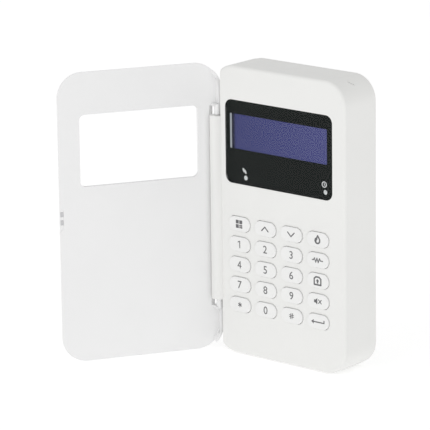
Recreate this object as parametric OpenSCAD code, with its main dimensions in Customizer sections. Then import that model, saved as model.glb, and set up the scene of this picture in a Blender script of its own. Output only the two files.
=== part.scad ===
// Wall-mounted alarm keypad: a shallow case with a display, twenty keys and a hinged cover.
// X runs to the right, Z up, and +Y into the wall. The origin is the centre of the wall face.

/* [Case] */
// Width of the case
body_w = 85; // [84:0.5:90]
// Height of the case
body_h = 150; // [148:1:160]
// Depth from the wall to the front face
body_d = 25; // [25:0.5:30]
// Radius of the four outline corners
corner_r = 13; // [12:0.5:15]
// Rounding of the front edge
edge_r = 1.6; // [0.8:0.1:1.8]

/* [Cover] */
// Angle the cover stands open at rest
open_angle = 121; // [0:1:130]
// Thickness of the cover
cover_t = 2.2; // [2:0.1:2.6]
// Width of the cover's window
window_w = 62.4; // [50:0.2:64]
// Height of the cover's window
window_h = 37.1; // [25:0.1:40]

/* [Keys] */
// Distance between key columns
pitch_x = 16.9; // [16.5:0.1:17.2]
// Distance between key rows
pitch_z = 10.6; // [10.4:0.1:11]
// Key travel
key_travel = 0.8; // [0.3:0.1:0.8]

/* [Display] */
// Width of the display lens
lens_w = 68.6; // [66:0.2:70]
// Height of the display lens
lens_h = 43.1; // [40:0.1:44]

/* [Hidden] */
$fn = 64;

// Depths below are counted from the front face towards the wall
face_y = -body_d;
front_wall = 2.2;
side_wall = 2;
seam_depth = body_d - 3.5;
seam_gap = 0.2;
rear_plate_t = 1.8;

// Hinge of the cover, beside the left outline
hinge_x = -body_w / 2 + 1.7;
hinge_depth = 1.6;
barrel_r = 4.1;
barrel_x = -body_w / 2 - 1;
barrel_h = 96;
pin_r = 0.9;
pin_bore_r = 0.95;
pin_in = 5.5;
knuckle_r = 1.7;
knuckle_gap = 0.3;

// Steps in the case that take the cover's ears
step_x = -37.5;
step_depth = 5.7;
step_wall = 1.5;

// Cover, described as if it were closed
cover_gap = 1.05;
cover_front = -cover_gap - cover_t;
notch_h = 105;
notch_x = hinge_x + 1.2;
cove_r = barrel_r + 0.35;
ear_x = hinge_x + 2.3;
ear_depth = 3;
ear_wall = 1.4;
rib_t = 1.2;
window_z = 34.55;
grip_w = 2.1;
grip_h = 13;
grip_t = 0.45;
magnet_x = body_w / 2 - 1.2;
magnet_w = 1.4;
magnet_h = 2.6;
magnet_z = [2.75, -1.5];
magnet_back = -cover_gap - grip_t - 0.9;

// Keys
key_w = 13.6;
key_h = 7.6;
key_r = 3.7;
key_play = 0.2;
key_rise = 0.75;
key_edge = 0.3;
row_z = -6.3;
flange_w = 15.4;
flange_h = 9.3;
flange_t = 0.8;
stem_r = 1.8;
stem_depth = 4.6;
mat_depth = 3.95;
mat_t = 0.8;
dome_r = 2.5;
dome_t = 0.35;

// Display
lens_z = 36.05;
lens_r = 4.1;
lens_t = 1.2;
mask_t = 0.25;
lens_pocket = 1.5;
lens_play = 0.15;
lcd_z = 41.5;
view_at = [-0.95, 41.3];
view_w = 62.5;
view_h = 18;
lcd_w = 68;
lcd_h = 24;
lcd_depth = 2.4;
lcd_t = 1.6;
led_spots = [[-22, 17.9], [29.2, 18.2]];
led_r = 1.25;

// Inside
board_w = 71;
board_h = 142;
board_r = 9;
board_depth = 5.8;
board_t = 1.4;
board_back = board_depth + board_t;
boss_x = 32;
boss_z = 66;
boss_r = 3;
screw_r = 1.5;
cell_r = 7.25;
cell_l = 49.5;
cell_pitch = 14.9;
cell_z = -25;
cell_depth = 15.3;
tray_w = 61.2;
tray_h = 58.4;
tray_t = 1.2;
tray_floor = 0.6;
tamper = [18, 52];
hook_x = 24;
hook_z = [20, -62];
hook_w = 8;
screw_pitch_x = 60;
screw_pitch_z = 120;
wall_hole_r = 2.1;
bracket_inset = 0.3;
bracket_plate = 1.6;
bracket_rim = 2;
far = 200;

// ---- shared shapes ----

// Box given by its limits, with Y as depths behind the front face
module block(x, depth, z) {
    translate([x[0], face_y + depth[0], z[0]])
        cube([x[1] - x[0], depth[1] - depth[0], z[1] - z[0]]);
}

module rounded_rect(w, h, r) {
    square([w - 2 * r, h], center = true);
    square([w, h - 2 * r], center = true);
    for (sx = [-1, 1], sz = [-1, 1])
        translate([sx * (w / 2 - r), sz * (h / 2 - r)]) circle(r);
}

// Flat plate with rounded corners
module slab(w, h, r, depth, at = [0, 0]) {
    translate([at[0], face_y + depth[1], at[1]])
        rotate([90, 0, 0]) linear_extrude(depth[1] - depth[0]) rounded_rect(w, h, r);
}

// Round bar along Y
module rod(r, depth, at) {
    translate([at[0], face_y + depth[1], at[1]])
        rotate([90, 0, 0]) cylinder(r = r, h = depth[1] - depth[0]);
}

// Section of a plate's border, with the front corner rounded
module border_section(reach, t, edge) {
    translate([0, edge]) square([reach, t - edge]);
    square([reach - edge, edge]);
    intersection() {
        translate([reach - edge, edge]) circle(edge);
        square([reach, edge]);
    }
}

// Plate with rounded corners and a rounded front edge
module soft_slab(w, h, r, depth, edge, at = [0, 0]) {
    t = depth[1] - depth[0];
    cx = w / 2 - r;
    cz = h / 2 - r;
    translate([at[0], face_y + depth[0], at[1]]) {
        translate([-cx, 0, -cz]) cube([2 * cx, t, 2 * cz]);
        for (mx = [0, 1]) mirror([mx, 0, 0])
            translate([cx, 0, -cz]) linear_extrude(2 * cz) border_section(r, t, edge);
        for (mz = [0, 1]) mirror([0, 0, mz])
            translate([cx, 0, cz]) rotate([0, -90, 0])
                linear_extrude(2 * cx) border_section(r, t, edge);
        for (mx = [0, 1], mz = [0, 1]) mirror([mx, 0, 0]) mirror([0, 0, mz])
            translate([cx, 0, -cz]) rotate([-90, 0, 0])
                rotate_extrude(angle = 90) border_section(r, t, edge);
    }
}

function key_x(column) = (column - 1.5) * pitch_x;
function key_z(row) = row_z - row * pitch_z;

// Places its children at every key
module at_keys() {
    for (row = [0:4], column = [0:3])
        translate([key_x(column), 0, key_z(row)]) children();
}

module at_bosses() {
    for (sx = [-1, 1], sz = [-1, 1]) translate([sx * boss_x, 0, sz * boss_z]) children();
}

module hinge_bar(r, z) {
    translate([hinge_x, face_y + hinge_depth, z[0]]) cylinder(r = r, h = z[1] - z[0]);
}

// Repeats its children at the upper and lower ends
module both_ends() {
    for (mz = [0, 1]) mirror([0, 0, mz]) children();
}

// ---- case ----

// Hollow of the front cover, less the walls and bosses that stand in it
module cover_hollow() {
    inner_w = body_w - 2 * side_wall;
    inner_h = body_h - 2 * side_wall;
    difference() {
        slab(inner_w, inner_h, corner_r - side_wall, [front_wall, body_d]);
        both_ends() block([-body_w, step_x + step_wall], [0, step_depth + step_wall],
                          [barrel_h / 2 - step_wall, body_h]);
        hinge_bar(barrel_r, [-barrel_h / 2, barrel_h / 2]);
        at_bosses() rod(boss_r, [0, seam_depth - rear_plate_t], [0, 0]);
    }
}

module front_cover() color("whitesmoke") {
    difference() {
        union() {
            soft_slab(body_w, body_h, corner_r, [0, seam_depth], edge_r);
            intersection() {
                hinge_bar(barrel_r, [-barrel_h / 2, barrel_h / 2]);
                block([barrel_x, 0], [-body_d, step_depth], [-far, far]);
            }
        }
        cover_hollow();
        both_ends() {
            block([-body_w, step_x], [-body_d, step_depth], [barrel_h / 2, body_h]);
            hinge_bar(pin_bore_r, [barrel_h / 2 - pin_in - 0.5, barrel_h / 2 + 1]);
        }
        slab(lens_w + lens_play, lens_h + lens_play, lens_r, [-1, lens_pocket], [0, lens_z]);
        slab(view_w + 3.5, view_h + 3, 1, [0, front_wall + 1], view_at);
        for (spot = led_spots) rod(led_r + 0.1, [0, front_wall + 1], spot);
        at_keys() slab(key_w + 2 * key_play, key_h + 2 * key_play, key_r + key_play - 0.05,
                       [-1, front_wall + 1]);
        at_bosses() rod(screw_r, [seam_depth - 9.5, seam_depth], [0, 0]);
        // Release slot across the upper right corner
        translate([37, face_y + 11.6, 69]) rotate([0, 0, 45])
            translate([-1.75, -0.35, 0]) cube([3.5, 0.7, 7]);
    }
}

module rear_cover() color("gainsboro") {
    play = 0.15;
    depth = [seam_depth - rear_plate_t, seam_depth];
    cut = [depth[0] - 1, depth[1] + 1];
    difference() {
        slab(body_w - 2 * (side_wall + play), body_h - 2 * (side_wall + play),
             corner_r - side_wall - play, depth);
        slab(tray_w + 2 * tray_t + 0.4, tray_h + 2 * tray_t + 0.4, 1, cut, [0, cell_z]);
        at_bosses() rod(screw_r + 0.2, cut, [0, 0]);
        rod(2.8, cut, tamper);
        for (sx = [-1, 1], z = hook_z)
            block([sx * hook_x - hook_w / 2 - 1, sx * hook_x + hook_w / 2 + 1], cut, [z - 1.2, z + 4]);
    }
}

module wall_bracket() color("whitesmoke") {
    w = body_w - 2 * bracket_inset;
    h = body_h - 2 * bracket_inset;
    r = corner_r - bracket_inset;
    plate_front = body_d - bracket_plate;
    front = seam_depth + seam_gap;
    difference() {
        slab(w, h, r, [front, body_d]);
        slab(w - 2 * bracket_rim, h - 2 * bracket_rim, r - bracket_rim, [front - 1, plate_front]);
        for (sx = [-1, 1], sz = [-1, 1])
            rod(wall_hole_r, [0, body_d + 1], [sx * screw_pitch_x / 2, sz * screw_pitch_z / 2]);
    }
    // Hooks that the case drops onto
    for (sx = [-1, 1], z = hook_z) {
        x = [sx * hook_x - hook_w / 2, sx * hook_x + hook_w / 2];
        lip = seam_depth - rear_plate_t;
        block(x, [lip - 1.4, plate_front + 0.2], [z, z + 1.5]);
        block(x, [lip - 1.4, lip - 0.2], [z, z + 3.2]);
    }
}

module case_screws() color("silver") {
    at_bosses() {
        rod(screw_r, [seam_depth - 8, seam_depth + 0.2], [0, 0]);
        difference() {
            rod(2.6, [seam_depth, seam_depth + 1.3], [0, 0]);
            block([-1.8, 1.8], [seam_depth + 0.7, seam_depth + 2], [-0.3, 0.3]);
            block([-0.3, 0.3], [seam_depth + 0.7, seam_depth + 2], [-1.8, 1.8]);
        }
    }
}

// Steel plates behind the face that the cover's magnets pull on
module catch_plates() color("silver")
    for (z = magnet_z)
        block([37.2, 40.2], [front_wall, front_wall + 0.8], [z - 1.6, z + 1.6]);

// ---- display ----

module display_lens() color("dimgray", 0.5)
    slab(lens_w, lens_h, lens_r, [0.05, lens_t], [0, lens_z]);

// Black film behind the lens, open over the display and the two lamps
module lens_mask() color("black") difference() {
    slab(lens_w, lens_h, lens_r, [lens_t, lens_t + mask_t], [0, lens_z]);
    slab(view_w, view_h, 0.5, [0, front_wall], view_at);
    for (spot = led_spots) rod(led_r, [0, front_wall], spot);
}

module lcd_glass() color("slateblue")
    block([-lcd_w / 2, lcd_w / 2], [lcd_depth, lcd_depth + lcd_t],
          [lcd_z - lcd_h / 2, lcd_z + lcd_h / 2]);

// Moulded frame that holds the glass and the backlight on the board
module lcd_frame() color("white") difference() {
    block([-lcd_w / 2 - 1.4, lcd_w / 2 + 1.4], [lcd_depth, board_depth],
          [lcd_z - lcd_h / 2 - 1.4, lcd_z + lcd_h / 2 + 1.4]);
    block([-lcd_w / 2, lcd_w / 2], [0, board_depth + 1],
          [lcd_z - lcd_h / 2, lcd_z + lcd_h / 2]);
}

module lcd_backlight() color("ghostwhite")
    block([-lcd_w / 2 + 0.1, lcd_w / 2 - 0.1], [lcd_depth + lcd_t, board_depth],
          [lcd_z - lcd_h / 2 + 0.1, lcd_z + lcd_h / 2 - 0.1]);

// Flat connector strip below the display
module lcd_flex() color("darkorange")
    block([-14, 14], [board_depth - 0.5, board_depth], [lcd_z - lcd_h / 2 - 7, lcd_z - lcd_h / 2 - 1.4]);

module light_guides() color("white", 0.7)
    for (spot = led_spots) {
        rod(led_r, [lens_t + mask_t, board_depth - 1], spot);
        rod(led_r + 0.9, [front_wall, front_wall + 0.8], spot);
    }

module status_leds() color("mintcream")
    for (spot = led_spots)
        block([spot[0] - 0.8, spot[0] + 0.8], [board_depth - 0.9, board_depth],
              [spot[1] - 1, spot[1] + 1]);

// ---- electronics ----

module main_board() color("darkgreen") difference() {
    slab(board_w, board_h, board_r, [board_depth, board_back]);
    at_bosses() rod(boss_r + 0.8, [0, body_d], [0, 0]);
}

// Guide mat between the keys and the board
module key_mat() color("lightgray") difference() {
    mat_w = 4 * pitch_x + 2;
    mat_h = 5 * pitch_z + 1;
    slab(mat_w, mat_h, 3, [mat_depth, mat_depth + mat_t], [0, key_z(2)]);
    at_keys() rod(stem_r + 0.4, [0, body_d], [0, 0]);
}

// Snap domes under the key stems
module key_domes() color("silver")
    at_keys() rod(dome_r, [board_depth - dome_t, board_depth], [0, 0]);

module processor() color("black")
    block([-6, 6], [board_back, board_back + 1.2], [24, 36]);

module radio_module() color("seagreen")
    block([-33.5, -15.5], [board_back, board_back + 1], [36, 60]);

module radio_shield() color("silver") difference() {
    block([-32, -17], [board_back + 1, board_back + 3], [38, 53]);
    block([-31.7, -17.3], [board_back + 1, board_back + 2.7], [38.3, 52.7]);
}

// Whip antenna bent along the top of the board
module antenna() color("goldenrod") {
    wire_r = 0.5;
    depth = board_back + 2.5;
    rod(wire_r, [board_back + 1, depth], [-24.5, 57.5]);
    translate([-24.5, face_y + depth, 57.5]) {
        sphere(wire_r);
        rotate([0, 90, 0]) cylinder(r = wire_r, h = 40);
    }
}

module buzzer() color("black") difference() {
    rod(9, [board_back, board_back + 9], [26, 28]);
    rod(1.5, [board_back + 4, board_back + 10], [26, 28]);
}

// Small parts along the board's edge
module board_parts() color("dimgray") {
    for (i = [0:5]) block([-14 + 5 * i, -11.5 + 5 * i], [board_back, board_back + 1], [14, 17]);
    rod(2.5, [board_back, board_back + 7], [-30, 16]);
    rod(2.5, [board_back, board_back + 7], [-22.5, 16]);
}

module tamper_switch() color("black") difference() {
    block([tamper[0] - 4, tamper[0] + 4], [board_back, board_back + 6],
          [tamper[1] - 4, tamper[1] + 4]);
    rod(1.8, [board_back + 1.5, body_d], tamper);
}

// Spring plunger that reaches through the rear cover to the bracket
module tamper_plunger() color("white") {
    rod(1.5, [board_back + 4, body_d - bracket_plate - 3], tamper);
    rod(2.4, [body_d - bracket_plate - 8, body_d - bracket_plate - 0.05], tamper);
}

// ---- batteries ----

module at_cells() {
    for (i = [0:3]) translate([(i - 1.5) * cell_pitch, 0, cell_z]) children();
}

module cell_rod(r, z) {
    translate([0, face_y + cell_depth, z[0]]) cylinder(r = r, h = z[1] - z[0]);
}

module battery_tray() color("dimgray") {
    w = tray_w + 2 * tray_t;
    h = tray_h + 2 * tray_t;
    floor_depth = board_back + 0.1;
    difference() {
        block([-w / 2, w / 2], [floor_depth, seam_depth - rear_plate_t],
              [cell_z - h / 2, cell_z + h / 2]);
        block([-tray_w / 2, tray_w / 2], [floor_depth + tray_floor, body_d],
              [cell_z - tray_h / 2, cell_z + tray_h / 2]);
    }
}

module battery_cells() color("forestgreen")
    at_cells() cell_rod(cell_r, [-cell_l / 2, cell_l / 2]);

// Positive tips, up and down in turn
module cell_tips() color("silver")
    for (i = [0:3]) {
        up = i % 2;
        translate([(i - 1.5) * cell_pitch, 0, cell_z]) mirror([0, 0, up])
            cell_rod(2.7, [cell_l / 2, cell_l / 2 + 1]);
    }

// Contact strips at both ends of the tray
module cell_contacts() color("gold") {
    end = tray_h / 2;
    for (i = [0:3], s = [-1, 1])
        translate([(i - 1.5) * cell_pitch, 0, cell_z]) mirror([0, 0, s < 0 ? 1 : 0]) {
            block([-5, 5], [cell_depth - 6, cell_depth + 3.5], [end - 0.5, end]);
            block([-2.5, 2.5], [cell_depth - 2, cell_depth + 2], [cell_l / 2 + 1.1, end - 0.5]);
        }
}

// ---- keys ----

module keycap(column, row) color("white")
    translate([key_x(column), 0, key_z(row)]) {
        soft_slab(key_w, key_h, key_r, [-key_rise, front_wall + 0.05], key_edge);
        slab(flange_w, flange_h, 4.4, [front_wall + 0.05, front_wall + 0.05 + flange_t]);
        rod(stem_r, [front_wall + flange_t, stem_depth], [0, 0]);
    }

// ---- cover ----

// Turns the closed cover about its hinge to the rest position
module opened() {
    translate([hinge_x, face_y + hinge_depth, 0]) rotate([0, 0, -open_angle])
        translate([-hinge_x, -face_y - hinge_depth, 0]) children();
}

// Walls of the two ears that reach back into the steps of the case
module ears() {
    both_ends() {
        intersection() {
            difference() {
                slab(body_w, body_h, corner_r, [cover_front + edge_r, ear_depth]);
                slab(body_w - 2 * ear_wall, body_h - 2 * ear_wall, corner_r - ear_wall,
                     [-cover_gap, ear_depth + 1]);
                hinge_bar(pin_r, [0, body_h]);
            }
            block([-body_w, ear_x], [-body_d, body_d], [notch_h / 2, body_h]);
        }
        difference() {
            union() {
                block([-body_w / 2, ear_x], [cover_front + edge_r, ear_depth],
                      [notch_h / 2, notch_h / 2 + rib_t]);
                hinge_bar(knuckle_r, [barrel_h / 2 + knuckle_gap, notch_h / 2 + rib_t]);
            }
            hinge_bar(pin_r, [0, body_h]);
        }
    }
}

// Finger recess in the inner side of the free edge
module grip_pocket() {
    slope = 1.6;
    top = grip_h / 2;
    translate([body_w / 2, face_y - cover_gap + 1, 0]) rotate([90, 0, 0])
        linear_extrude(1 + grip_t)
            polygon([[0, top], [-grip_w, top - slope], [-grip_w, slope - top], [0, -top],
                     [1, -top], [1, top]]);
}

module magnet_bars(lift)
    for (z = magnet_z)
        block([magnet_x - magnet_w / 2, magnet_x + magnet_w / 2],
              [magnet_back, lift - cover_gap - grip_t], [z - magnet_h / 2, z + magnet_h / 2]);

module cover_flap() color("white") opened() {
    difference() {
        soft_slab(body_w, body_h, corner_r, [cover_front, -cover_gap], edge_r);
        slab(window_w, window_h, 3, [-body_d, body_d], [0, window_z]);
        block([-body_w, notch_x], [-body_d, body_d], [-notch_h / 2, notch_h / 2]);
        hinge_bar(cove_r, [-notch_h / 2, notch_h / 2]);
        grip_pocket();
        magnet_bars(1);
    }
    ears();
}

module hinge_pins() color("silver") opened()
    both_ends() hinge_bar(pin_r, [barrel_h / 2 - pin_in, notch_h / 2 + rib_t]);

module cover_magnets() color("dimgray") opened()
    magnet_bars(0.15);

// ---- nodes ----

front_cover();
rear_cover();
wall_bracket();
case_screws();
display_lens();
lens_mask();
lcd_glass();
lcd_frame();
lcd_backlight();
lcd_flex();
light_guides();
status_leds();
main_board();
key_mat();
key_domes();
processor();
radio_module();
radio_shield();
antenna();
buzzer();
board_parts();
battery_tray();
battery_cells();
cell_tips();
cell_contacts();
tamper_switch();
tamper_plunger();
catch_plates();
cover_flap();
hinge_pins();
cover_magnets();
keycap(0, 0);  // key_menu
keycap(1, 0);  // key_up
keycap(2, 0);  // key_down
keycap(3, 0);  // key_fire
keycap(0, 1);  // key_1
keycap(1, 1);  // key_2
keycap(2, 1);  // key_3
keycap(3, 1);  // key_sos
keycap(0, 2);  // key_4
keycap(1, 2);  // key_5
keycap(2, 2);  // key_6
keycap(3, 2);  // key_home
keycap(0, 3);  // key_7
keycap(1, 3);  // key_8
keycap(2, 3);  // key_9
keycap(3, 3);  // key_mute
keycap(0, 4);  // key_star
keycap(1, 4);  // key_0
keycap(2, 4);  // key_hash
keycap(3, 4);  // key_enter
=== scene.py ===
"""Alarm keypad panel: materials, key legends, display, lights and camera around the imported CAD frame."""

import math

import bmesh
import bpy
from mathutils import Matrix, Vector


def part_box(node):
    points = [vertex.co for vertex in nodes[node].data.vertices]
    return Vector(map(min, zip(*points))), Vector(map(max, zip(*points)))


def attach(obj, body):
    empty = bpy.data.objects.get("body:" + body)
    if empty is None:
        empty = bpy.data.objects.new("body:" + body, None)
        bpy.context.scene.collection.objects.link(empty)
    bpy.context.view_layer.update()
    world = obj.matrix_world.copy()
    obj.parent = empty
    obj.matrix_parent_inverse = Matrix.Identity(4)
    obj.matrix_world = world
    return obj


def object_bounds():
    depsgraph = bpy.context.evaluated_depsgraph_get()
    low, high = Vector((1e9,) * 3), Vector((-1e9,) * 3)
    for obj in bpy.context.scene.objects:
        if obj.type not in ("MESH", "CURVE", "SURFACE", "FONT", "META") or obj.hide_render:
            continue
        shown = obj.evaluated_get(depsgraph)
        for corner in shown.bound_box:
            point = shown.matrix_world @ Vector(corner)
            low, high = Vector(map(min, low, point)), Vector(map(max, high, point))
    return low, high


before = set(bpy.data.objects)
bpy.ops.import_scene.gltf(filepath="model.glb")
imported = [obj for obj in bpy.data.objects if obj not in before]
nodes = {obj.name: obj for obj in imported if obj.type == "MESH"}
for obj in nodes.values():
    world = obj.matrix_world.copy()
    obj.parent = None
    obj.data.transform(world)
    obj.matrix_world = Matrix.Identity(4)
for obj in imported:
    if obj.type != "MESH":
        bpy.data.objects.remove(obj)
cad_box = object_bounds()

MM = 0.001
SHELL_DEPTH = 21.5 * MM
FACE_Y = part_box("front_cover")[1].y - SHELL_DEPTH
LENS_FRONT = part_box("display_lens")[0].y

# Specular levels of satin plastic and of matt print, as Blender counts them
SATIN_SHINE = 0.35
MATT_SHINE = 0.1


# ---- node helpers ----


def new_material(name):
    """A new node material and its Principled shader."""
    material = bpy.data.materials.new(name)
    material.use_nodes = True
    return material, material.node_tree.nodes["Principled BSDF"]


def add(material, kind, **values):
    """Adds a shader node. Values name its properties, or its input sockets where it has no such property."""
    node = material.node_tree.nodes.new(kind)
    for key, value in values.items():
        if key in node.bl_rna.properties:
            setattr(node, key, value)
        else:
            node.inputs[key.replace("_", " ")].default_value = value
    return node


def link(material, start, end):
    """Joins an output socket to an input socket."""
    material.node_tree.links.new(start, end)


def position(material):
    """Object coordinates, which on a CAD node are metres in the row frame."""
    return add(material, "ShaderNodeTexCoord").outputs["Object"]


def noise(material, place, size, detail=3.0, stretch=(1, 1, 1)):
    """Noise whose lumps are about size metres across, as a value around 0.5."""
    mapping = add(material, "ShaderNodeMapping", Scale=stretch)
    link(material, place, mapping.inputs["Vector"])
    node = add(material, "ShaderNodeTexNoise", Scale=1 / size, Detail=detail, Roughness=0.55)
    link(material, mapping.outputs["Vector"], node.inputs["Vector"])
    return node.outputs["Fac"]


def span(material, value, low, high, start=0.3, end=0.7):
    """Maps value from start..end to low..high."""
    node = add(material, "ShaderNodeMapRange")
    for name, number in (("From Min", start), ("From Max", end), ("To Min", low), ("To Max", high)):
        node.inputs[name].default_value = number
    link(material, value, node.inputs["Value"])
    return node.outputs["Result"]


def blend_colours(material, factor, first, second):
    """Colour between first, where factor is 0, and second, where it is 1."""
    node = add(material, "ShaderNodeMix", data_type="RGBA")
    link(material, factor, node.inputs[0])
    for socket, colour in ((6, first), (7, second)):
        if isinstance(colour, bpy.types.NodeSocket):
            link(material, colour, node.inputs[socket])
        else:
            node.inputs[socket].default_value = (*colour, 1)
    return node.outputs[2]


def bump(material, shader, height, depth):
    """Raises the surface by up to depth metres where height is 1."""
    node = add(material, "ShaderNodeBump", Distance=depth, Strength=1.0)
    link(material, height, node.inputs["Height"])
    link(material, node.outputs["Normal"], shader.inputs["Normal"])


def srgb(*levels):
    """Colour from 0..255 display levels to scene values."""
    def linear(level):
        c = level / 255
        return c / 12.92 if c <= 0.04045 else ((c + 0.055) / 1.055) ** 2.4
    return tuple(linear(level) for level in levels)


# ---- materials ----


def moulded(name, colour, roughness=0.42, grain=0.00022, depth=0.000006, tone=0.02):
    """Moulded plastic: a fine spark-eroded grain, a faint drift of tone and a little uneven gloss."""
    material, shader = new_material(name)
    place = position(material)
    drift = noise(material, place, 0.03, 2.0)
    pale = tuple(min(1.0, c * (1 + tone)) for c in colour)
    dull = tuple(c * (1 - tone) for c in colour)
    link(material, blend_colours(material, drift, dull, pale), shader.inputs["Base Color"])
    smear = noise(material, place, 0.006, 4.0)
    link(material, span(material, smear, roughness - 0.05, roughness + 0.06), shader.inputs["Roughness"])
    bump(material, shader, noise(material, place, grain, 2.0), depth)
    shader.inputs["Specular IOR Level"].default_value = SATIN_SHINE
    return material


def glowing(name, colour, strength):
    """Milky plastic with light behind it."""
    material = moulded(name, tuple(c * 0.4 for c in colour), roughness=0.4)
    shader = material.node_tree.nodes["Principled BSDF"]
    cloud = noise(material, position(material), 0.0015, 2.0)
    glow = blend_colours(material, cloud, tuple(c * 0.94 for c in colour), colour)
    link(material, glow, shader.inputs["Emission Color"])
    shader.inputs["Emission Strength"].default_value = strength
    return material


def metal(name, colour, roughness=0.3, stretch=(1, 1, 12)):
    """Plated or brushed metal with fine lines along one axis."""
    material, shader = new_material(name)
    place = position(material)
    lines = noise(material, place, 0.0006, 3.0, stretch)
    tint = blend_colours(material, lines, tuple(c * 0.82 for c in colour), colour)
    link(material, tint, shader.inputs["Base Color"])
    link(material, span(material, lines, roughness - 0.08, roughness + 0.12), shader.inputs["Roughness"])
    bump(material, shader, lines, 0.000008)
    shader.inputs["Metallic"].default_value = 1.0
    return material


LENS_IOR = 1.18


def clear_lens():
    """Clear lens with faint wipe marks. LENS_IOR is under acrylic's own, to keep reflections weak."""
    material, shader = new_material("acrylic_lens")
    place = position(material)
    marks = noise(material, place, 0.02, 3.0, (1, 1, 2.5))
    link(material, span(material, marks, 0.0, 0.015), shader.inputs["Roughness"])
    tint = blend_colours(material, marks, (0.98, 0.982, 0.985), (0.99, 0.99, 0.99))
    link(material, tint, shader.inputs["Base Color"])
    shader.inputs["Transmission Weight"].default_value = 1.0
    shader.inputs["IOR"].default_value = LENS_IOR
    return material


def black_film():
    """Black back print, a little uneven. A weak glow stands for reflections that the lens leaves out."""
    material, shader = new_material("black_print")
    place = position(material)
    ink = noise(material, place, 0.015, 2.0)
    colour = blend_colours(material, ink, srgb(34, 38, 37), srgb(38, 42, 41))
    link(material, colour, shader.inputs["Base Color"])
    link(material, span(material, ink, 0.55, 0.6), shader.inputs["Roughness"])
    glow = blend_colours(material, ink, srgb(26, 29, 28), srgb(28, 31, 30))
    link(material, glow, shader.inputs["Emission Color"])
    shader.inputs["Emission Strength"].default_value = 1.0
    shader.inputs["Specular IOR Level"].default_value = MATT_SHINE
    return material


DRIFT_X = 30 * MM
BORDER_X = (-30.4 * MM, -29.2 * MM)


def lit_display():
    """Blue backlit display: dark up to BORDER_X, then drifting paler from -DRIFT_X to DRIFT_X."""
    material, shader = new_material("display_blue")
    place = position(material)
    split = add(material, "ShaderNodeSeparateXYZ")
    link(material, place, split.inputs["Vector"])
    across = span(material, split.outputs["X"], 0, 1, -DRIFT_X, DRIFT_X)
    colour = blend_colours(material, across, srgb(52, 56, 104), srgb(70, 73, 123))
    cloud = noise(material, place, 0.012, 2.0)
    soft = blend_colours(material, span(material, cloud, 0, 0.12), colour, srgb(46, 49, 92))
    border = span(material, split.outputs["X"], 0, 1, *BORDER_X)
    glow = blend_colours(material, border, srgb(24, 26, 40), soft)
    link(material, glow, shader.inputs["Emission Color"])
    shader.inputs["Emission Strength"].default_value = 1.0
    body = blend_colours(material, cloud, (0.008, 0.008, 0.02), (0.01, 0.01, 0.024))
    link(material, body, shader.inputs["Base Color"])
    shader.inputs["Roughness"].default_value = 0.5
    shader.inputs["Specular IOR Level"].default_value = MATT_SHINE
    return material


def printed(name, colour):
    """Tampo-printed ink with slightly uneven cover."""
    material, shader = new_material(name)
    place = position(material)
    cover = noise(material, place, 0.0004, 3.0)
    tint = blend_colours(material, cover, tuple(c * 0.85 for c in colour), colour)
    link(material, tint, shader.inputs["Base Color"])
    link(material, span(material, cover, 0.45, 0.6), shader.inputs["Roughness"])
    return material


TRACKS_PER_METRE = 320.0


def circuit_board(name, base, track):
    """Solder resist with a pattern of tracks under it."""
    material, shader = new_material(name)
    place = position(material)
    cells = add(material, "ShaderNodeTexVoronoi", feature="DISTANCE_TO_EDGE", Scale=TRACKS_PER_METRE,
                Randomness=0.6)
    link(material, place, cells.inputs["Vector"])
    lines = span(material, cells.outputs["Distance"], 1, 0, 0.05, 0.12)
    link(material, blend_colours(material, lines, base, track), shader.inputs["Base Color"])
    bump(material, shader, lines, 0.00003)
    shader.inputs["Roughness"].default_value = 0.3
    return material


SLEEVE_BAND_Z = (-13.2 * MM, -13 * MM)


def sleeved_cell():
    """Battery sleeve in two printed colours that meet at SLEEVE_BAND_Z, with a slight wrinkle."""
    material, shader = new_material("cell_sleeve")
    place = position(material)
    split = add(material, "ShaderNodeSeparateXYZ")
    link(material, place, split.inputs["Vector"])
    band = span(material, split.outputs["Z"], 0, 1, *SLEEVE_BAND_Z)
    colour = blend_colours(material, band, srgb(38, 92, 54), srgb(196, 160, 74))
    link(material, colour, shader.inputs["Base Color"])
    wrinkle = noise(material, place, 0.003, 3.0, (1, 1, 0.3))
    link(material, span(material, wrinkle, 0.2, 0.34), shader.inputs["Roughness"])
    bump(material, shader, wrinkle, 0.00004)
    return material


SHELL_WHITE = srgb(233, 233, 231)
COVER_WHITE = srgb(238, 238, 238)
KEY_WHITE = srgb(235, 235, 234)

shell = moulded("shell_white", SHELL_WHITE)
cover = moulded("cover_white", COVER_WHITE)
key_plastic = moulded("key_white", KEY_WHITE, roughness=0.38, grain=0.00016, depth=0.000003)
inner = moulded("inner_shell", srgb(206, 206, 203), roughness=0.5)
black_plastic = moulded("black_plastic", srgb(32, 32, 34), roughness=0.5, tone=0.1)
milky = moulded("milky_plastic", srgb(228, 228, 224), roughness=0.3)
silicone = moulded("silicone", srgb(200, 200, 196), roughness=0.6, grain=0.0005)
amber_film = moulded("amber_film", srgb(196, 122, 44), roughness=0.3, tone=0.08)
steel = metal("plated_steel", (0.62, 0.62, 0.63))
brass = metal("brass_wire", (0.78, 0.6, 0.3), 0.25)
nickel = metal("dark_nickel", (0.62, 0.62, 0.63), 0.45)
lens = clear_lens()
film = black_film()
display_blue = lit_display()
display_edge = moulded("display_edge", srgb(120, 122, 120), roughness=0.35)
edge_glow = glowing("edge_glow", srgb(146, 151, 156), 1.0)
lamp_glow = glowing("lamp_glow", srgb(210, 214, 214), 0.6)
legend_ink = printed("legend_ink", srgb(104, 104, 106))
icon_ink = printed("icon_ink", srgb(206, 209, 209))
green_board = circuit_board("green_board", (0.012, 0.09, 0.03), (0.03, 0.17, 0.06))
blue_board = circuit_board("blue_board", (0.01, 0.05, 0.12), (0.02, 0.1, 0.2))
cell_sleeve = sleeved_cell()

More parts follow.
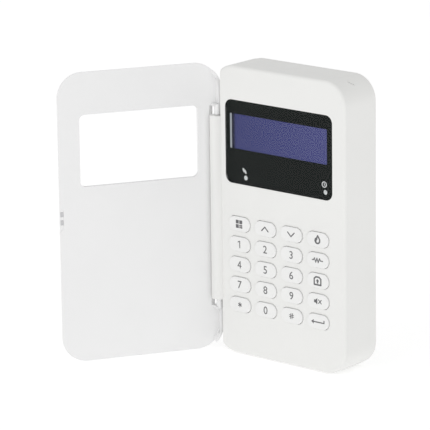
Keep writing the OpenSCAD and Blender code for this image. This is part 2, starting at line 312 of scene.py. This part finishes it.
NODE_MATERIALS = {
    shell: ["front_cover", "wall_bracket"],
    cover: ["cover_flap"],
    inner: ["rear_cover", "tamper_plunger"],
    lens: ["display_lens"],
    film: ["lens_mask"],
    display_edge: ["lcd_glass"],
    milky: ["lcd_frame", "lcd_backlight", "status_leds"],
    lamp_glow: ["light_guides"],
    amber_film: ["lcd_flex"],
    green_board: ["main_board"],
    blue_board: ["radio_module"],
    silicone: ["key_mat"],
    steel: ["case_screws", "key_domes", "radio_shield", "cell_tips", "cell_contacts", "catch_plates",
            "hinge_pins"],
    brass: ["antenna"],
    nickel: ["cover_magnets"],
    black_plastic: ["processor", "buzzer", "board_parts", "battery_tray", "tamper_switch"],
    cell_sleeve: ["battery_cells"],
}


SMOOTH_UNDER = math.radians(28)


def dress(node, material):
    """Gives a CAD node one material and smooth shading across its gentle edges."""
    mesh = nodes[node].data
    mesh.materials.clear()
    mesh.materials.append(material)
    for polygon in mesh.polygons:
        polygon.material_index = 0
    mesh.shade_smooth()
    mesh.set_sharp_from_angle(angle=SMOOTH_UNDER)


for material, names in NODE_MATERIALS.items():
    for name in names:
        dress(name, material)
for name in nodes:
    if name.startswith("key_") and name not in ("key_mat", "key_domes"):
        dress(name, key_plastic)


# ---- printed marks ----


def mark_object(name, mesh, centre, surface_y, body, material):
    """Stands a flat drawing, made in XY, on a surface that faces -Y, and lets it ride on a body."""
    upright = Matrix.Rotation(math.pi / 2, 4, "X")
    mesh.transform(Matrix.Translation((centre[0], surface_y, centre[1])) @ upright)
    mesh.materials.clear()
    mesh.materials.append(material)
    piece = bpy.data.objects.new(name, mesh)
    bpy.context.scene.collection.objects.link(piece)
    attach(piece, body)


def curve_mesh(curve):
    """The mesh of a curve or text, without keeping the curve."""
    holder = bpy.data.objects.new("holder", curve)
    bpy.context.scene.collection.objects.link(holder)
    graph = bpy.context.evaluated_depsgraph_get()
    mesh = bpy.data.meshes.new_from_object(holder.evaluated_get(graph))
    bpy.data.objects.remove(holder)
    return mesh


# Half the thickness of a drawing, and the share of it that each later outline stands prouder, so that
# overlapping outlines have no common face
INK_T = 0.03 * MM
INK_STEP = 0.02

GLYPH_DEPTH = 0.5
GLYPH_WEIGHT = 0.006


def glyph(text, height):
    """A figure from the built-in font, height metres tall and centred."""
    curve = bpy.data.curves.new("glyph", "FONT")
    curve.body = text
    curve.extrude = GLYPH_DEPTH
    curve.offset = GLYPH_WEIGHT
    mesh = curve_mesh(curve)
    xs = [v.co.x for v in mesh.vertices]
    ys = [v.co.y for v in mesh.vertices]
    scale = height / (max(ys) - min(ys))
    middle = Vector(((max(xs) + min(xs)) / 2, (max(ys) + min(ys)) / 2, 0))
    mesh.transform(Matrix.Diagonal((scale, scale, INK_T, 1)) @ Matrix.Translation(-middle))
    return mesh


CAP_POINTS = 9


def capsule(start, end, width):
    """Outline of a straight stroke with round ends."""
    turn = math.degrees(math.atan2(end[1] - start[1], end[0] - start[0]))
    far_cap = arc(end, width / 2, turn - 90, turn + 90, CAP_POINTS)
    near_cap = arc(start, width / 2, turn + 90, turn + 270, CAP_POINTS)
    return far_cap + near_cap


def drawing(strokes=(), fills=()):
    """A flat drawing in mm. A stroke is (points, width, closed), a fill is a closed outline."""
    outlines = list(fills)
    for points, width, closed in strokes:
        ends = points[1:] + points[:1] if closed else points[1:]
        outlines += [capsule(a, b, width) for a, b in zip(points, ends)]
    vertices, faces = [], []
    for index, outline in enumerate(outlines):
        first, count = len(vertices), len(outline)
        half = INK_T * (1 + INK_STEP * index)
        vertices += [(x * MM, y * MM, side * half) for side in (-1, 1) for x, y in outline]
        faces.append([first + i for i in reversed(range(count))])
        faces.append([first + count + i for i in range(count)])
        for i in range(count):
            after = (i + 1) % count
            faces.append([first + i, first + after, first + count + after, first + count + i])
    mesh = bpy.data.meshes.new("drawing")
    mesh.from_pydata(vertices, [], faces)
    mesh.validate()
    return mesh


def arc(centre, radius, start=0, end=360, count=28):
    """Points on an arc, in degrees; a full circle leaves out its repeated last point."""
    steps = count if end - start >= 360 else count - 1
    return [(centre[0] + radius * math.cos(math.radians(start + (end - start) * i / steps)),
             centre[1] + radius * math.sin(math.radians(start + (end - start) * i / steps)))
            for i in range(count)]


def square(centre, size):
    """Outline of an upright square."""
    x, y, h = centre[0], centre[1], size / 2
    return [(x - h, y - h), (x + h, y - h), (x + h, y + h), (x - h, y + h)]


def menu_icon():
    """Three square tiles, and four small ones in place of the fourth."""
    tiles = [square(c, 1.9) for c in ((-1.15, 1.15), (1.15, 1.15), (-1.15, -1.15))]
    small = [square(c, 0.85) for c in ((0.65, -0.65), (1.65, -1.65), (1.65, -0.65), (0.65, -1.65))]
    return drawing((), tiles + small)


def up_icon():
    return drawing([([(-2.1, -1.0), (0, 1.1), (2.1, -1.0)], 0.62, False)])


def down_icon():
    return drawing([([(-2.1, 1.0), (0, -1.1), (2.1, 1.0)], 0.62, False)])


def flame_icon():
    """A flame outline with its left half filled."""
    outer = [(0.2, 2.1), (0.9, 1.1), (1.5, 0.2), (1.45, -0.9), (0.8, -1.7), (-0.2, -1.9), (-1.1, -1.5),
             (-1.5, -0.6), (-1.2, 0.5), (-0.8, 0.2), (-0.3, 1.1)]
    left_half = [(0.1, 1.6), (0.1, 0.3), (-0.6, -0.6), (-0.4, -1.5), (-1.2, -1.2), (-1.3, -0.3)]
    return drawing([(outer, 0.8, True)], [left_half])


def alert_icon():
    """A pulse line, standing for the panic key's word."""
    wave = [(-3.3, 0), (-2.5, 0), (-1.9, 1.1), (-1.1, -1.1), (-0.3, 1.1), (0.5, -1.1), (1.3, 1.1), (1.9, 0),
            (3.3, 0)]
    return drawing([(wave, 0.55, False)])


def house_icon():
    """A house outline around a keyhole."""
    walls = [(-2.1, -2.0), (2.1, -2.0), (2.1, 1.1), (1.0, 2.0), (-1.0, 2.0), (-2.1, 1.1)]
    keyhole = arc((0, 0.1), 0.75)
    slot_down = [(-0.35, -0.2), (-0.55, -1.3), (0.55, -1.3), (0.35, -0.2)]
    return drawing([(walls, 0.8, True)], [keyhole, slot_down])


def mute_icon():
    """A loudspeaker and two crossed strokes."""
    horn = [(-2.3, -0.75), (-1.4, -0.75), (-0.2, -1.7), (-0.2, 1.7), (-1.4, 0.75), (-2.3, 0.75)]
    cross = [[(0.6, -0.9), (2.3, 0.9)], [(0.6, 0.9), (2.3, -0.9)]]
    return drawing([(line, 0.5, False) for line in cross], [horn])


def enter_icon():
    """A long return arrow, standing for the confirm key's word."""
    shaft = [(4.0, 1.0), (4.0, -0.2), (-3.2, -0.2)]
    head = [(-4.2, -0.2), (-2.6, 0.95), (-2.6, -1.35)]
    return drawing([(shaft, 0.6, False)], [head])


def one_icon():
    return drawing([([(-0.75, 1.2), (0.3, 1.7), (0.3, -1.7)], 0.52, False)])


def four_icon():
    return drawing([([(0.5, -1.7), (0.5, 1.7), (-1.05, -0.75), (1.1, -0.75)], 0.5, False)])


def star_icon():
    reach = 1.1
    rays = [[(reach * math.cos(a), reach * math.sin(a)), (-reach * math.cos(a), -reach * math.sin(a))]
            for a in (math.radians(30), math.radians(90), math.radians(150))]
    return drawing([(ray, 0.5, False) for ray in rays])


def hash_icon():
    uprights = [[(x - 0.2, -1.35), (x + 0.2, 1.35)] for x in (-0.5, 0.5)]
    levels = [[(-1.3, z), (1.3, z)] for z in (-0.45, 0.45)]
    return drawing([(line, 0.4, False) for line in uprights + levels])


LEGENDS = {
    "key_menu": menu_icon(), "key_up": up_icon(), "key_down": down_icon(), "key_fire": flame_icon(),
    "key_sos": alert_icon(), "key_home": house_icon(), "key_mute": mute_icon(), "key_enter": enter_icon(),
    "key_star": star_icon(), "key_hash": hash_icon(), "key_1": one_icon(), "key_4": four_icon(),
}
DIGIT_HEIGHT = 4.0 * MM
for digit in "02356789":
    LEGENDS["key_" + digit] = glyph(digit, DIGIT_HEIGHT)

for key, mesh in LEGENDS.items():
    low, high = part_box(key)
    centre = ((low.x + high.x) / 2, (low.z + high.z) / 2)
    mark_object(key + "_legend", mesh, centre, low.y, key, legend_ink)

# Pale marks on the lens, over the two lamps
link_bars = drawing([([(-0.8, 1.0), (-0.3, -0.2)], 1.0, False), ([(0.3, 0.3), (0.8, -0.9)], 1.0, False)])
ring = drawing([(arc((0, 0), 1.35), 0.5, True), ([(0, 0.55), (0, -0.1), (0.45, -0.35)], 0.4, False)])
mark_object("lens_mark_link", link_bars, (-22 * MM, 21.7 * MM), LENS_FRONT, "panel", icon_ink)
mark_object("lens_mark_ring", ring, (29.3 * MM, 22.4 * MM), LENS_FRONT, "panel", icon_ink)


# ---- display ----


def flat_panel(name, x, z, y, thickness, material):
    """Thin plate with softened front edges, given by its limits."""
    bm = bmesh.new()
    bmesh.ops.create_cube(bm, size=1)
    bmesh.ops.scale(bm, vec=(x[1] - x[0], thickness, z[1] - z[0]), verts=bm.verts)
    bmesh.ops.translate(bm, vec=((x[0] + x[1]) / 2, y + thickness / 2, (z[0] + z[1]) / 2), verts=bm.verts)
    bmesh.ops.bevel(bm, geom=bm.edges[:], offset=thickness / 3, segments=2, affect="EDGES")
    mesh = bpy.data.meshes.new(name)
    bm.to_mesh(mesh)
    mesh.materials.append(material)
    piece = bpy.data.objects.new(name, mesh)
    bpy.context.scene.collection.objects.link(piece)
    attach(piece, "panel")


# The lit area and the pale line at its left stand a hair in front of the glass block
GLASS_LOW, GLASS_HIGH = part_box("lcd_glass")
GLASS_MARGIN = 1.6 * MM
PLATE_T = 0.1 * MM
LINE_LEFT, LIT_LEFT, LIT_RIGHT = -33.4 * MM, -31.7 * MM, 33 * MM
active_z = (GLASS_LOW.z + GLASS_MARGIN, GLASS_HIGH.z - GLASS_MARGIN)
plate_y = GLASS_LOW.y - 0.12 * MM
flat_panel("lcd_active", (LIT_LEFT, LIT_RIGHT), active_z, plate_y, PLATE_T, display_blue)
flat_panel("lcd_edge_line", (LINE_LEFT, LIT_LEFT), active_z, plate_y, PLATE_T, edge_glow)


# ---- studio ----


FLOOR_SIZE = 30.0
FLOOR_DROP = 0.5 * MM
FLOOR_GLOW = 0.34
WORLD_LIGHT = 0.735
KEY_WATTS = 6
SIDE_WATTS = 3


def stage_floor():
    """Wide pale floor just under the CAD box, with a glow of its own to bring it up to white."""
    material, shader = new_material("studio_floor")
    place = position(material)
    tone = noise(material, place, 0.4, 2.0)
    paper = blend_colours(material, tone, (0.86, 0.86, 0.86), (0.9, 0.9, 0.9))
    link(material, paper, shader.inputs["Base Color"])
    shader.inputs["Roughness"].default_value = 0.9
    shader.inputs["Specular IOR Level"].default_value = MATT_SHINE
    shader.inputs["Emission Color"].default_value = (1, 1, 1, 1)
    shader.inputs["Emission Strength"].default_value = FLOOR_GLOW
    z = cad_box[0][2] - FLOOR_DROP
    corners = [(x * FLOOR_SIZE, y * FLOOR_SIZE, z) for x, y in ((-1, -1), (1, -1), (1, 1), (-1, 1))]
    mesh = bpy.data.meshes.new("studio_floor")
    mesh.from_pydata(corners, [], [(0, 1, 2, 3)])
    mesh.materials.append(material)
    floor = bpy.data.objects.new("studio_floor", mesh)
    bpy.context.scene.collection.objects.link(floor)


def soft_light(name, place, target, size, power):
    """Square area lamp of size metres that faces its target."""
    data = bpy.data.lights.new(name, "AREA")
    data.shape = "SQUARE"
    data.size = size
    data.energy = power
    lamp = bpy.data.objects.new(name, data)
    lamp.location = place
    lamp.rotation_euler = (Vector(target) - Vector(place)).to_track_quat("-Z", "Y").to_euler()
    bpy.context.scene.collection.objects.link(lamp)


def studio_world(strength):
    """Even white light from all sides."""
    world = bpy.data.worlds.new("studio")
    world.use_nodes = True
    background = world.node_tree.nodes["Background"]
    background.inputs["Color"].default_value = (1, 1, 1, 1)
    background.inputs["Strength"].default_value = strength
    bpy.context.scene.world = world


stage_floor()
studio_world(WORLD_LIGHT)
soft_light("key_light", (-0.5, -1.8, 1.0), (0, 0, 0), 1.4, KEY_WATTS)
soft_light("side_light", (1.8, -0.9, 0.5), (0, 0, 0), 1.2, SIDE_WATTS)


# ---- camera ----


CAMERA_TURN, CAMERA_RISE, CAMERA_ROLL = 40.52, 14.42, -0.75
CAMERA_DISTANCE = 1.664
CAMERA_SIDE, CAMERA_LIFT = 31.9 * MM, -2.24 * MM
SENSOR_MM, LENS_MM = 36, 278
CAMERA_REACH = 100


def studio_camera():
    """Camera set by its turn, rise and roll in degrees, and its distance and shift from the case's face."""
    azimuth, elevation, roll = (math.radians(a) for a in (CAMERA_TURN, CAMERA_RISE, CAMERA_ROLL))
    back = Vector((math.sin(azimuth) * math.cos(elevation), -math.cos(azimuth) * math.cos(elevation),
                   math.sin(elevation)))
    level = Vector((0, 0, 1)).cross(back).normalized()
    upright = back.cross(level)
    right = level * math.cos(roll) + upright * math.sin(roll)
    up = -level * math.sin(roll) + upright * math.cos(roll)
    face = Vector((0, FACE_Y, 0))
    place = back * CAMERA_DISTANCE - right * CAMERA_SIDE - up * CAMERA_LIFT + face
    data = bpy.data.cameras.new("camera")
    data.sensor_width = SENSOR_MM
    data.lens = LENS_MM
    data.clip_end = CAMERA_REACH
    camera = bpy.data.objects.new("camera", data)
    camera.matrix_world = Matrix((
        (right.x, up.x, back.x, place.x),
        (right.y, up.y, back.y, place.y),
        (right.z, up.z, back.z, place.z),
        (0, 0, 0, 1),
    ))
    bpy.context.scene.collection.objects.link(camera)
    bpy.context.scene.camera = camera


studio_camera()
bpy.context.scene.view_settings.view_transform = "Standard"
